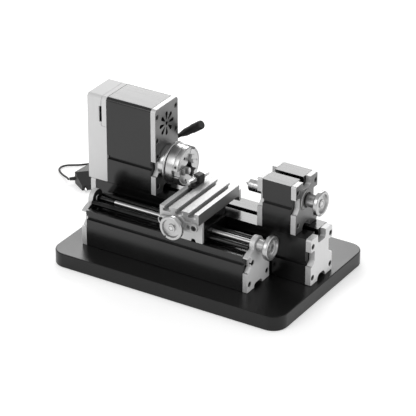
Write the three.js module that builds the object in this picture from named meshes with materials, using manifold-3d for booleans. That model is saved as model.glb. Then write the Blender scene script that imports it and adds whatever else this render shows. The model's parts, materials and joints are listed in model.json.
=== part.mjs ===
// A small bench lathe for metal, on a base board: two black bar beds with pale end plates, a
// headstock with a jaw chuck, a carriage with a slotted cross slide, and a tailstock.
// Millimetres. +Z is up, +X runs from the headstock to the tailstock and +Y to the back.
// The origin is the centre of the base board's underside.

import * as THREE from 'three';
import { mergeVertices } from 'three/addons/utils/BufferGeometryUtils.js';
import Module from 'manifold-3d';

const wasm = await Module();
wasm.setup();

// ---- Driving dimensions ----------------------------------------------------------------------

const GAP = 0.3; // left between pieces that touch
const PAST = 1; // how far a cutting tool runs past a face
const BAR = 47; // width of every black bar
const NOTCH = { width: 17, depth: 10, corner: 3.5 }; // T-nut entry in the edge of an end plate

const BOARD = { halfX: 150, halfY: 97.3, top: 17.6, corner: 18, edge: 1.2 };
const FOOT = BOARD.top + GAP; // underside of both beds
const FRONT = { x0: -120, x1: 85, y: -42.2, top: 62.3, plate: 6 };
const REAR = { x0: -140.6, x1: 135, y: 8, top: 74.7, plate: 6.5, slot: 7.2 };
const SEAT = REAR.top + GAP; // underside of the headstock and the tailstock
const SPINDLE = { y: REAR.y, z: 109.5, r: 8, bore: 4, x0: -145.5, nose: -53.8 };

const LEAD = { y: FRONT.y, z: 68, r: 3, x0: -119, x1: 107.8, lug: 10 };
const SHOULDER = { run: 8.1, rise: 2 };
const GUIDE = { apart: 10.7, z: 66.6, r: 2.9 };
const WHEEL = { r: 14.3, rim: 6, back: 13.2, dish: 10.9, deep: 3.2, recess: 1.2 };
const WHEEL_HOLE = { r: 1, at: 12.4, turn: 212 };
const HUB = { r: 7.3, nut: 4.8, low: 1 };

const CARRIAGE = { x: 8.5, half: 25, y0: -65.7, y1: -17.5, plate: 3.5, base: 62.6, top: 87.9 };
const TABLE = { half: 25, y0: -73.5, y1: 12, top: 101.6, base: 88.2, pitch: 16, neck: 6 };
const CROSS = { z: 86.5, r: 3, wheel: -91.5, rods: 14, rodZ: 86, rodR: 2.2 };
const WING = { half: 25, z0: 80, z1: 91, thick: 3.5, boss: 10, low: 81.5, high: 95.3 };
const TOOL = { x: -7.8, y: -7.5, turn: -8.4, size: 4, lift: 6.6, back: 17, front: 16.7 };
const HOLDER = { half: 4.2, y0: -2.6, y1: 6, tall: 11, foot: 1.6 };
const CLAMP_BOLT = { y: -18.5, r: 1.5, head: 2.8, tall: 2 };

const HEAD = { x0: -124, x1: -65.2, top: 180.3, wall: 3, fillet: 4.5, plate: 6.2, web: 127 };
const COVER = { x0: -149.6, wall: 2, split: 143.5, seam: 0.9 };
const MOTOR = { z: 156, r: 17.5, x0: -120, x1: -76, shaft: 2.5 };
const PULLEY = { x0: -144.5, x1: -136, spindle: 16, motor: 8, belt: 1.4 };
const VENT = { y: 8, z: 156, petals: 8, inner: 4.8, outer: 14.4, wide: 2.4, centre: 2.3 };

const CHUCK = { ring: 24.6, ringX0: -50.4, ringX1: -47.6, r: 23.2, face: -30, hub: 13, bore: 6 };
const KEY = { r: 1.3, turn: 21, x: -33.9, deep: 7 };
const JAW = { turn: 26, wide: 8, inner: 5, outer: 20, root: 8, reach: 6, count: 3 };

const TAIL = { x0: 79.4, x1: 115.4, top: 134, plate: 6.4, slot: 6.8, boss: 12.3, dark: 9, ring: 1.4 };
const QUILL = { x0: 51, x1: 104, r: 7.6, bore: 3.4, boreX: 70, point: 44.4, cone: 3.8 };
const SCREW = { r: 3, x0: 84, wheel: 142.5 };

const LEVER = { x: -79.5, z: 114.5, r: 6, y0: 31.8, y1: 43.5, armY: 40 };
const STUD = { r: 2.5, washer: 4.8 };
const LEVER_TIP = new THREE.Vector3(-32.7, LEVER.armY, 147.9);
const GLAND = { x: -110, y: 31.8, z: 90, r: 4.6, tip: 2.1, long: 22 };
const CORD = { r: 1.2, sides: 8, step: 6 };

// The lead's route. It drops from the gland onto its coil, which lies on the board behind the
// headstock, and then leaves the coil over the edge of the board and goes round to the plug.
const COIL = { x: -104, y: 66, z0: BOARD.top + GAP, z1: 25.4, inner: 10.2, outer: 17.8 };
const LEAD_ROUTE = [
  [-110, 54.1, 90], [-110, 59, 89.6], [-110.2, 64.5, 88], [-110.5, 70, 84.3], [-111, 74.5, 78.5],
  [-111.5, 77.4, 71.5], [-112, 78.9, 63.5], [-112.7, 79.2, 55], [-113.4, 78.3, 46.5],
  [-114.2, 76, 38.8], [-115, 72.6, 32.2], [-115.5, 68.5, 27.9],
];
const TAIL_ROUTE = [
  [-114.7, 82.45, 19.15], [-122, 83.2, 19.05], [-129.5, 86.2, 19], [-136, 91.4, 18.95],
  [-142, 98, 18.4], [-147.8, 105, 14.8], [-153.2, 111.8, 8.8], [-159, 118.4, 3.7],
  [-166, 125, 1.5], [-175, 132, 1.25], [-186, 138.5, 1.25], [-199, 143, 1.25], [-213, 144.7, 1.25],
  [-226, 143.6, 1.25], [-237, 140.2, 1.25], [-245.7, 135.2, 1.25], [-252, 129, 1.25],
  [-258, 122.8, 1.25], [-264.6, 118.2, 1.25], [-270.6, 113.8, 1.25], [-274.2, 107.6, 1.25],
  [-273.2, 100.6, 1.25], [-268.4, 95, 1.25], [-262, 90.6, 1.4], [-255.4, 86.6, 2.2],
  [-249.4, 82.6, 3.6], [-244.6, 78.4, 4.8],
];
const PLUG = { x: -227, y: 89.5, turn: 47, back: 17, nose: 19.5, wide: 12.5, tip: 7.6, tall: 15.5, thin: 6 };
const PLUG_CORD = { along: -3.6, z: 5.2, r0: 2.6, r1: 1.9, from: -19.1, neck: -11, to: -6 };
const PIN = { r: 1.6, long: 9, apart: 4 };

// ---- Finishes --------------------------------------------------------------------------------

const FINISH = {
  board: { color: 0x141415, roughness: 0.42, metalness: 0.0 },
  black: { color: 0x1d1d1f, roughness: 0.4, metalness: 0.5 },
  pale: { color: 0xc9cacc, roughness: 0.38, metalness: 0.85 },
  cover: { color: 0xd8d8d9, roughness: 0.5, metalness: 0.1 },
  steel: { color: 0xb4b6b9, roughness: 0.25, metalness: 1.0 },
  chrome: { color: 0xd5d6d8, roughness: 0.16, metalness: 1.0 },
  brass: { color: 0xb89a4a, roughness: 0.35, metalness: 1.0 },
  dark: { color: 0x232325, roughness: 0.5, metalness: 0.6 },
  plastic: { color: 0x111112, roughness: 0.45, metalness: 0.0 },
  rubber: { color: 0x161616, roughness: 0.7, metalness: 0.0 },
};

// ---- Solids ----------------------------------------------------------------------------------

// Turns a three.js geometry into a solid, with its faces pointing out.
function solid(geometry) {
  geometry.deleteAttribute('normal');
  geometry.deleteAttribute('uv');
  const merged = mergeVertices(geometry, 1e-4);
  const points = merged.attributes.position.array;
  const index = merged.index.array;
  const faces = [];
  let volume = 0;
  const [a, b, c] = [new THREE.Vector3(), new THREE.Vector3(), new THREE.Vector3()];
  for (let i = 0; i < index.length; i += 3) {
    const [p, q, r] = [index[i], index[i + 1], index[i + 2]];
    if (p === q || q === r || r === p) continue;
    faces.push([p, q, r]);
    a.fromArray(points, 3 * p);
    b.fromArray(points, 3 * q);
    c.fromArray(points, 3 * r);
    volume += a.dot(b.cross(c));
  }
  const triVerts = new Uint32Array(faces.flatMap(([p, q, r]) => (volume < 0 ? [p, r, q] : [p, q, r])));
  const vertProperties = new Float32Array(points);
  return new wasm.Manifold(new wasm.Mesh({ numProp: 3, vertProperties, triVerts }));
}

function cut(body, ...tools) {
  return tools.reduce((left, tool) => left.subtract(tool), body);
}

function join(body, ...others) {
  return others.reduce((sum, other) => sum.add(other), body);
}

// A box given by its limits along X, Y and Z.
function box(x0, x1, y0, y1, z0, z1) {
  const geometry = new THREE.BoxGeometry(x1 - x0, y1 - y0, z1 - z0);
  return solid(geometry.translate((x0 + x1) / 2, (y0 + y1) / 2, (z0 + z1) / 2));
}

// An outline pushed along an axis. It is drawn in (y, z) for x, in (x, z) for y, in (x, y) for z.
function prism(axis, outline, from, to, curveSegments = 6) {
  const depth = to - from;
  const geometry = new THREE.ExtrudeGeometry(outline, { depth, bevelEnabled: false, curveSegments });
  const [x, y, z] = [[1, 0, 0], [0, 1, 0], [0, 0, 1]].map((v) => new THREE.Vector3(...v));
  const basis = new THREE.Matrix4();
  if (axis === 'x') basis.makeBasis(y, z, x).setPosition(from, 0, 0);
  if (axis === 'y') basis.makeBasis(x, z, y.clone().negate()).setPosition(0, to, 0);
  if (axis === 'z') basis.setPosition(0, 0, from);
  return solid(geometry.applyMatrix4(basis));
}

// A turned piece. The profile is [radius, distance] pairs, the distance running along the axis.
function turned(axis, profile, a, b, sides = 24) {
  const points = profile.map(([r, d]) => new THREE.Vector2(r, d));
  const geometry = new THREE.LatheGeometry(points, sides);
  if (axis === 'x') geometry.rotateZ(-Math.PI / 2).translate(0, a, b);
  if (axis === 'y') geometry.translate(a, 0, b);
  if (axis === 'z') geometry.rotateX(Math.PI / 2).translate(a, b, 0);
  return solid(geometry);
}

// A plain round bar along an axis, centred on the other two coordinates.
function rod(axis, r, from, to, a, b, sides = 20) {
  return turned(axis, [[0, from], [r, from], [r, to], [0, to]], a, b, sides);
}

function polygon(points) {
  return new THREE.Shape(points.map(([u, v]) => new THREE.Vector2(u, v)));
}

// A rectangle with round corners, the radii going round from the low corner: one or four of them.
function roundRect(u0, u1, v0, v1, radii) {
  const [a, b, c, d] = [].concat(radii).length === 1 ? Array(4).fill([].concat(radii)[0]) : radii;
  const quarter = Math.PI / 2;
  const shape = new THREE.Shape();
  shape.moveTo(u0 + a, v0);
  shape.lineTo(u1 - b, v0);
  if (b) shape.absarc(u1 - b, v0 + b, b, -quarter, 0, false);
  shape.lineTo(u1, v1 - c);
  if (c) shape.absarc(u1 - c, v1 - c, c, 0, quarter, false);
  shape.lineTo(u0 + d, v1);
  if (d) shape.absarc(u0 + d, v1 - d, d, quarter, 2 * quarter, false);
  shape.lineTo(u0, v0 + a);
  if (a) shape.absarc(u0 + a, v0 + a, a, 2 * quarter, 3 * quarter, false);
  return shape;
}

// The geometry of a finished solid, with flat faces.
function geometryOf(body) {
  const { vertProperties, triVerts } = body.getMesh();
  const geometry = new THREE.BufferGeometry();
  geometry.setAttribute('position', new THREE.BufferAttribute(vertProperties, 3));
  geometry.setIndex(new THREE.BufferAttribute(triVerts, 1));
  const flat = geometry.toNonIndexed();
  flat.computeVertexNormals();
  return flat;
}

const lathe = new THREE.Group();

function piece(name, body, finish, parent = lathe) {
  const mesh = new THREE.Mesh(geometryOf(body), new THREE.MeshStandardMaterial(FINISH[finish]));
  mesh.name = name;
  parent.add(mesh);
  return mesh;
}

// ---- Shared shapes ---------------------------------------------------------------------------

// A T-slot along an axis, opening upwards: a narrow neck over a wider hollow.
function teeSlot(axis, centre, top, neck, lip, deep, from, to) {
  const wide = neck / 2 + 2;
  const across = (half, z0, z1) =>
    axis === 'x'
      ? box(from, to, centre - half, centre + half, z0, z1)
      : box(centre - half, centre + half, from, to, z0, z1);
  return join(across(neck / 2, top - deep, top + PAST), across(wide, top - deep, top - lip));
}

// How deep the grooves in the sides of the bars are.
const GROOVE = 3;

// Grooves along both sides of a bar.
function sideGrooves(x0, x1, y, z0, z1) {
  const front = y - BAR / 2;
  const back = y + BAR / 2;
  return [
    box(x0, x1, front - PAST, front + GROOVE, z0, z1),
    box(x0, x1, back - GROOVE, back + PAST, z0, z1),
  ];
}

// Notches in an end plate that let T-nuts into the slots behind it.
function topNotch(x0, x1, y, top) {
  const { width, depth, corner } = NOTCH;
  const shape = roundRect(y - width / 2, y + width / 2, top - depth, top + PAST, [corner, corner, 0, 0]);
  return prism('x', shape, x0 - PAST, x1 + PAST, 3);
}

function bottomNotch(x0, x1, y, base, high) {
  const { width } = NOTCH;
  const corners = [0, 0, high - 1, high - 1];
  const shape = roundRect(y - width / 2, y + width / 2, base - PAST, base + high, corners);
  return prism('x', shape, x0 - PAST, x1 + PAST, 3);
}

function edgeNotches(x0, x1, y, z, deep = 8) {
  const { width } = NOTCH;
  return [-1, 1].map((side) => {
    const edge = y + (side * BAR) / 2;
    const inner = edge - side * deep;
    const shape = polygon([
      [edge + side * PAST, z + width / 2],
      [inner, z + width / 2],
      [inner, z - width / 2 + 4],
      [edge - side * 3, z - width / 2 - 1.5],
      [edge + side * PAST, z - width / 2 - 1.5],
    ]);
    return prism('x', shape, x0 - PAST, x1 + PAST);
  });
}

// A handwheel along X, with its hub's end at `hub` and its outer face at `face`, which is dished
// and has a hole for a crank pin. (a, b) is its axis in (y, z).
function handwheel(hub, face, a, b) {
  const { r, rim, back, dish, deep } = WHEEL;
  const bore = LEAD.r - 0.5 + GAP;
  const rear = face - rim;
  const wheel = turned('x', [
    [bore, hub], [HUB.r, hub], [HUB.r, rear - 1], [back, rear], [r, rear + 1.1], [r, face - 1],
    [r - 1, face], [dish, face], [dish - 0.8, face - deep], [HUB.nut, face - deep],
    [HUB.nut, face - HUB.low], [bore, face - HUB.low], [bore, hub],
  ], a, b, 28);
  const turn = THREE.MathUtils.degToRad(WHEEL_HOLE.turn);
  const [y, z] = [a + WHEEL_HOLE.at * Math.sin(turn), b + WHEEL_HOLE.at * Math.cos(turn)];
  return cut(wheel, rod('x', WHEEL_HOLE.r, rear - PAST, face + PAST, y, z, 12));
}

// ---- Base and beds ---------------------------------------------------------------------------

function baseBoard() {
  const { halfX, halfY, top, corner, edge } = BOARD;
  const outline = roundRect(-halfX, halfX, -halfY, halfY, corner);
  const geometry = new THREE.ExtrudeGeometry(outline, {
    depth: top - 2 * edge,
    bevelThickness: edge,
    bevelSize: edge,
    bevelOffset: -edge,
    bevelSegments: 2,
    curveSegments: 4,
  });
  piece('base_board', solid(geometry.translate(0, 0, edge)), 'board');
}

function frontBed() {
  const { x0, x1, y, top, plate } = FRONT;
  const [inX0, inX1] = [x0 + GAP, x1 - GAP];
  const [y0, y1] = [y - BAR / 2, y + BAR / 2];
  const bar = cut(
    box(inX0, inX1, y0, y1, FOOT, top),
    ...sideGrooves(inX0 - PAST, inX1 + PAST, y, 50.8, 56.1),
    box(inX0 - PAST, inX1 + PAST, y0 + 7, y1 - 7, top - 2.5, top + PAST),
    box(inX0 - PAST, inX1 + PAST, y0 + 5, y - 2, FOOT + 4, top - 14),
    box(inX0 - PAST, inX1 + PAST, y + 2, y1 - 5, FOOT + 4, top - 14),
  );
  piece('front_bed', bar, 'black');

  // Each plate has a round-topped lug for the leadscrew above its shoulders.
  const outline = new THREE.Shape();
  outline.moveTo(y0, FOOT);
  outline.lineTo(y1, FOOT);
  outline.lineTo(y1, top - 1.3);
  outline.lineTo(y1 - SHOULDER.run, top + SHOULDER.rise);
  outline.lineTo(y + LEAD.lug, top + SHOULDER.rise + 1.5);
  outline.absarc(y, LEAD.z, LEAD.lug, 0, Math.PI, false);
  outline.lineTo(y - LEAD.lug, top + SHOULDER.rise + 1.5);
  outline.lineTo(y0 + SHOULDER.run, top + SHOULDER.rise);
  outline.lineTo(y0, top - 1.3);
  const plateAt = (a, b) => cut(
    prism('x', outline, a, b, 10),
    bottomNotch(a, b, y, FOOT, 5),
    ...edgeNotches(a, b, y, 51.2),
    rod('x', LEAD.r + GAP, a - PAST, b + PAST, y, LEAD.z, 16),
  );
  piece('front_bed_left_plate', plateAt(x0 - plate, x0), 'pale');
  piece('front_bed_right_plate', plateAt(x1, x1 + plate), 'pale');

  ['front', 'rear'].forEach((place, i) => {
    const away = y + (i === 0 ? -1 : 1) * GUIDE.apart;
    piece(`guide_rod_${place}`, rod('x', GUIDE.r, x0 + GAP, x1 - GAP, away, GUIDE.z, 16), 'chrome');
  });
}

function rearBed() {
  const { x0, x1, y, top, plate, slot } = REAR;
  const [inX0, inX1] = [x0 + GAP, x1 - GAP];
  const [y0, y1] = [y - BAR / 2, y + BAR / 2];
  const bar = cut(
    box(inX0, inX1, y0, y1, FOOT, top),
    ...sideGrooves(inX0 - PAST, inX1 + PAST, y, 41.3, 46.9),
    teeSlot('x', y, top, slot, 3, 7, inX0 - PAST, inX1 + PAST),
    box(inX0 - PAST, inX1 + PAST, y0 + 7, y - 2, FOOT + 4, top - 16),
    box(inX0 - PAST, inX1 + PAST, y + 2, y1 - 7, FOOT + 4, top - 16),
  );
  piece('rear_bed', bar, 'black');

  const plateAt = (a, b) => cut(
    prism('x', roundRect(y0, y1, FOOT, top, [0.8, 0.8, 3, 3]), a, b, 3),
    topNotch(a, b, y, top),
    bottomNotch(a, b, y, FOOT, 7),
    ...edgeNotches(a, b, y, 50.7),
  );
  piece('rear_bed_left_plate', plateAt(x0 - plate, x0), 'pale');
  piece('rear_bed_right_plate', plateAt(x1, x1 + plate + 0.5), 'pale');
}

// ---- Leadscrew -------------------------------------------------------------------------------

function leadscrew() {
  const { y, z, r, x0, x1 } = LEAD;
  const neck = FRONT.x1 + FRONT.plate + GAP;
  const steps = turned('x', [
    [0, x0], [r, x0], [r, neck], [r - 0.5, neck], [r - 0.5, x1], [0, x1],
  ], y, z, 20);
  piece('leadscrew', steps, 'chrome');
  piece('leadscrew_handwheel', handwheel(neck + GAP, x1 + WHEEL.recess, y, z), 'chrome');
}

// ---- Carriage --------------------------------------------------------------------------------

function carriage() {
  const { x, half, y0, y1, plate, base, top } = CARRIAGE;
  const [x0, x1] = [x - half, x + half];
  const bodyY0 = y0 + plate + GAP;
  const along = (r, y, z, sides) => rod('x', r, x0 - PAST, x1 + PAST, y, z, sides);
  const channel = (centre, halfWide, z0) =>
    box(centre - halfWide, centre + halfWide, bodyY0 - PAST, y1 + PAST, z0, top + PAST);
  const saddle = cut(
    box(x0, x1, bodyY0, y1, base, top),
    along(LEAD.r + GAP, LEAD.y, LEAD.z, 16),
    along(GUIDE.r + GAP, LEAD.y - GUIDE.apart, GUIDE.z, 12),
    along(GUIDE.r + GAP, LEAD.y + GUIDE.apart, GUIDE.z, 12),
    channel(x, 4.2, CROSS.z - CROSS.r - 1),
    channel(x - CROSS.rods, 3, CROSS.rodZ - CROSS.rodR - 0.4),
    channel(x + CROSS.rods, 3, CROSS.rodZ - CROSS.rodR - 0.4),
    box(x - 7, x + 7, LEAD.y - 6, LEAD.y + 6, base - PAST, LEAD.z + 6),
    box(x - 5, x + 5, -52, -40, LEAD.z + 9, top + PAST),
    box(x1 - 2, x1 + PAST, bodyY0 - PAST, y1 + PAST, 76, 80),
    box(x0 - PAST, x0 + 2, bodyY0 - PAST, y1 + PAST, 76, 80),
  );
  piece('carriage_saddle', saddle, 'black');

  const notch = 3;
  const apron = cut(
    prism('y', roundRect(x0, x1, base, top, 0.8), y0, y0 + plate, 3),
    rod('y', notch, y0 - PAST, y0 + plate + PAST, x - 13.3, base + 0.6, 16),
    rod('y', notch, y0 - PAST, y0 + plate + PAST, x + 13.3, base + 0.6, 16),
    box(x - 17, x + 17, y0 - PAST, y0 + plate + PAST, 82.4, top + PAST),
  );
  piece('carriage_front_plate', apron, 'pale');

  const leadNut = cut(
    box(x - 6.7, x + 6.7, LEAD.y - 5.7, LEAD.y + 5.7, base + 0.3, LEAD.z + 5.7),
    along(LEAD.r + GAP, LEAD.y, LEAD.z, 16),
  );
  piece('leadscrew_nut', leadNut, 'brass');
  const crossNut = cut(
    box(x - 4.7, x + 4.7, -51.7, -40.3, LEAD.z + 9.3, top - 0.2),
    rod('y', CROSS.r + GAP, -60, -30, x, CROSS.z, 16),
    box(x - 2.4, x + 2.4, -60, -30, CROSS.z, top + PAST),
  );
  piece('cross_feed_nut', crossNut, 'brass');
}

// ---- Cross slide -----------------------------------------------------------------------------

function crossSlide() {
  const { half, y0, y1, top, base, pitch, neck } = TABLE;
  const x = CARRIAGE.x;
  const run = [y0 - PAST, y1 + PAST];
  const slots = [-1, 0, 1].map((i) => teeSlot('y', x + i * pitch, top, neck, 2.8, 6, ...run));
  const under = (centre, halfWide, z1) => box(centre - halfWide, centre + halfWide, ...run, base - PAST, z1);
  const table = cut(
    box(x - half, x + half, y0, y1, base, top),
    ...slots,
    under(x, 4.2, CROSS.z + CROSS.r + 1),
    under(x - CROSS.rods, 3, CROSS.rodZ + CROSS.rodR + 0.5),
    under(x + CROSS.rods, 3, CROSS.rodZ + CROSS.rodR + 0.5),
  );
  piece('cross_slide_table', table, 'pale');

  const drilled = (plate, from, to) => {
    const hole = (r, away, z) => rod('y', r, from - PAST, to + PAST, x + away, z, 16);
    return cut(
      plate,
      hole(CROSS.r + GAP, 0, CROSS.z),
      hole(CROSS.rodR + GAP, -CROSS.rods, CROSS.rodZ),
      hole(CROSS.rodR + GAP, CROSS.rods, CROSS.rodZ),
    );
  };
  // The front plate is a wing with a round boss for the feed screw.
  const front = y0 - GAP;
  const { z0, z1, boss, thick, low, high } = WING;
  const outline = roundRect(x - WING.half, x + WING.half, z0, z1, (z1 - z0) / 2 - 0.1);
  const wing = join(
    prism('y', outline, front - thick, front, 5),
    rod('y', boss, front - thick, front, x, CROSS.z, 24),
  );
  piece('cross_slide_front_plate', drilled(wing, front - thick, front), 'pale');
  // The rear plate is square and leaves the slots open.
  const rear = y1 + GAP;
  const square = box(x - half, x + half, rear, rear + thick, low, high);
  piece('cross_slide_rear_plate', drilled(square, rear, rear + thick), 'pale');
  [['left', -1], ['right', 1]].forEach(([place, side]) => {
    const bar = rod('y', CROSS.rodR, front - WING.thick + 0.6, y1 + GAP + WING.thick,
      x + side * CROSS.rods, CROSS.rodZ, 16);
    piece(`cross_rod_${place}`, bar, 'chrome');
  });
}

function crossFeed() {
  const { z, r, wheel } = CROSS;
  const x = CARRIAGE.x;
  const neck = TABLE.y0 - GAP - WING.thick;
  const start = wheel + WHEEL.recess;
  const end = TABLE.y1 + GAP + WING.thick;
  const profile = [[0, start], [r - 0.5, start], [r - 0.5, neck], [r, neck], [r, end], [0, end]];
  piece('cross_feed_screw', turned('y', profile, x, z, 20), 'chrome');
  // The wheel is made along +X and turned to face the front.
  const body = handwheel(GAP - neck, -wheel, 0, 0);
  piece('cross_feed_handwheel', body.rotate([0, 0, -90]).translate([x, 0, z]), 'chrome');
}

function toolPost() {
  const { x, y, turn, size, lift, back, front } = TOOL;
  const slotX = CARRIAGE.x - TABLE.pitch;
  const base = TABLE.top + GAP;
  const half = size / 2;
  const reach = half + GAP;
  const { y: boltY, r, head, tall } = CLAMP_BOLT;

  const block = cut(
    prism('y', roundRect(-HOLDER.half, HOLDER.half, GAP, HOLDER.tall, 0.8), HOLDER.y0, HOLDER.y1, 2),
    box(-reach, reach, HOLDER.y0 - PAST, HOLDER.y1 + PAST, lift - reach, lift + reach),
  );
  const foot = box(slotX - 4.6, slotX + 4, boltY - 4, y + 5, base, TABLE.top + HOLDER.foot);
  const holder = cut(
    join(block.rotate([0, 0, turn]).translate([x, y, TABLE.top]), foot),
    rod('z', r + GAP, TABLE.top, TABLE.top + 3, slotX, boltY, 14),
  );
  piece('tool_holder', holder, 'dark');

  const group = new THREE.Group();
  group.position.set(x, y, TABLE.top + lift);
  group.rotation.z = THREE.MathUtils.degToRad(turn);
  lathe.add(group);
  const relief = polygon([
    [back - 5, half - 0.8], [back + PAST, half - 0.8], [back + PAST, -half - PAST], [back - 2, -half - PAST],
  ]);
  const bar = cut(box(-half, half, -front, back, -half, half), prism('x', relief, -half - PAST, 0.4));
  piece('turning_tool', bar, 'steel', group);

  const floor = TABLE.top - 6 + GAP;
  const seat = TABLE.top + HOLDER.foot + GAP;
  const bolt = join(
    box(slotX - 4.6, slotX + 4.6, boltY - 4, boltY + 4, floor, TABLE.top - 2.8 - GAP),
    rod('z', r, floor + PAST, seat + PAST, slotX, boltY, 14),
    rod('z', head, seat, seat + tall, slotX, boltY, 16),
  );
  piece('tool_clamp_bolt', bolt, 'dark');
}

// ---- Headstock -------------------------------------------------------------------------------

// The headstock's section, with a round front top edge, grown or shrunk by `inset`.
function headOutline(inset, z0) {
  const [y0, y1] = [REAR.y - BAR / 2 + inset, REAR.y + BAR / 2 - inset];
  const r = Math.max(HEAD.fillet - inset, 0.6);
  return roundRect(y0, y1, z0, HEAD.top - inset, [0, 0, r, r]);
}

function headstock() {
  const { x0, x1, wall, plate, web, top } = HEAD;
  const [inX0, inX1] = [x0 + GAP, x1 - GAP];
  const { y, z, r } = SPINDLE;
  const inner = [y - BAR / 2 + wall, y + BAR / 2 - wall];
  const innerLow = [y - BAR / 2 + GROOVE + wall, y + BAR / 2 - GROOVE - wall];
  const housing = cut(
    prism('x', headOutline(0, SEAT), inX0, inX1, 3),
    ...sideGrooves(inX0 - PAST, inX1 + PAST, y, 104.4, 109.5),
    box(inX0 - PAST, inX1 + PAST, ...inner, web + wall, top - wall),
    box(inX0 - PAST, inX1 + PAST, ...innerLow, SEAT + wall, web),
    rod('y', GLAND.r - 1, y + 5, y + BAR / 2 + PAST, GLAND.x, GLAND.z, 12),
  );
  piece('headstock_housing', housing, 'black');

  const bearingSeat = r + 6;
  const petals = Array.from({ length: VENT.petals }, (_, i) => petal(i * (360 / VENT.petals)));
  const rightX = [x1, x1 + plate];
  const right = cut(
    prism('x', headOutline(0, SEAT), ...rightX, 3),
    ...edgeNotches(...rightX, y, 107.5),
    bottomNotch(...rightX, y, SEAT, 7),
    rod('x', bearingSeat, rightX[0] - PAST, rightX[1] + PAST, y, z, 24),
    rod('x', VENT.centre, rightX[0] - PAST, rightX[1] + PAST, VENT.y, VENT.z, 12),
    ...petals,
  );
  piece('headstock_right_plate', right, 'pale');

  // The left plate shows only above the cover's skirt.
  const front = y - BAR / 2;
  const leftX = [x0 - plate - GAP, x0 - GAP];
  const stepEdge = front + COVER.wall + GAP;
  const [stepX0, stepX1] = [leftX[0] - PAST, leftX[1] + PAST];
  const coverStep = box(stepX0, stepX1, front - PAST, stepEdge, SEAT - PAST, COVER.split + GAP);
  const left = cut(
    prism('x', headOutline(0, SEAT), ...leftX, 3),
    coverStep,
    bottomNotch(...leftX, y, SEAT, 7),
    rod('x', bearingSeat, leftX[0] - PAST, leftX[1] + PAST, y, z, 24),
    rod('x', MOTOR.shaft + 1, leftX[0] - PAST, leftX[1] + PAST, y, MOTOR.z, 16),
  );
  piece('headstock_left_plate', left, 'pale');

  const bearing = (a, b) => turned('x', [
    [r + GAP, a], [bearingSeat - GAP, a], [bearingSeat - GAP, b], [r + GAP, b], [r + GAP, a],
  ], y, z, 24);
  piece('spindle_bearing_front', bearing(rightX[0] + 0.5, rightX[1] - 0.7), 'steel');
  piece('spindle_bearing_rear', bearing(leftX[0] + 0.5, leftX[1] - 0.5), 'steel');

  const motor = join(
    rod('x', MOTOR.r, MOTOR.x0, MOTOR.x1, y, MOTOR.z, 24),
    rod('x', 6, x0 + 0.6, MOTOR.x0 + PAST, y, MOTOR.z, 20),
    rod('x', 7, MOTOR.x1 - PAST, MOTOR.x1 + 3, y, MOTOR.z, 20),
  );
  const shaftWay = rod('x', MOTOR.shaft + GAP, x0 - PAST, MOTOR.x0 + 12, y, MOTOR.z, 16);
  piece('motor', cut(motor, shaftWay), 'dark');
}

// One petal of the rosette vent: a slim drop, narrow at the centre.
function petal(degrees) {
  const { inner, outer, wide } = VENT;
  const shape = new THREE.Shape();
  shape.moveTo(0.5, inner);
  shape.lineTo(wide, outer - wide);
  shape.absarc(0, outer - wide, wide, 0, Math.PI, false);
  shape.lineTo(-0.5, inner);
  const turn = THREE.MathUtils.degToRad(degrees);
  const points = shape.extractPoints(4).shape.map((p) => p.rotateAround(new THREE.Vector2(), turn));
  points.forEach((p) => p.add(new THREE.Vector2(VENT.y, VENT.z)));
  return prism('x', new THREE.Shape(points), HEAD.x1 - PAST, HEAD.x1 + HEAD.plate + PAST);
}

function beltCover() {
  const { x0, wall, split, seam } = COVER;
  const x1 = HEAD.x0 - HEAD.plate - 2 * GAP;
  const front = REAR.y - BAR / 2;
  const skirtX = HEAD.x0 - GAP;
  const shell = join(
    cut(
      prism('x', headOutline(0, SEAT), x0, x1, 3),
      prism('x', headOutline(wall, SEAT + wall), x0 + wall, x1 + PAST, 3),
    ),
    box(x1 - 2, skirtX, front, front + wall, SEAT, split),
  );
  const window = box(x1 - 3.4, x1 + PAST, front - PAST, front + wall + PAST, 148.5, 168);
  const rebate = box(x1 - seam, x1 + PAST, front - PAST, front + 0.8, split + 1, HEAD.top - 5);
  piece('belt_cover', cut(shell, window, rebate), 'cover');
}

// ---- Spindle, chuck and drive ----------------------------------------------------------------

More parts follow.
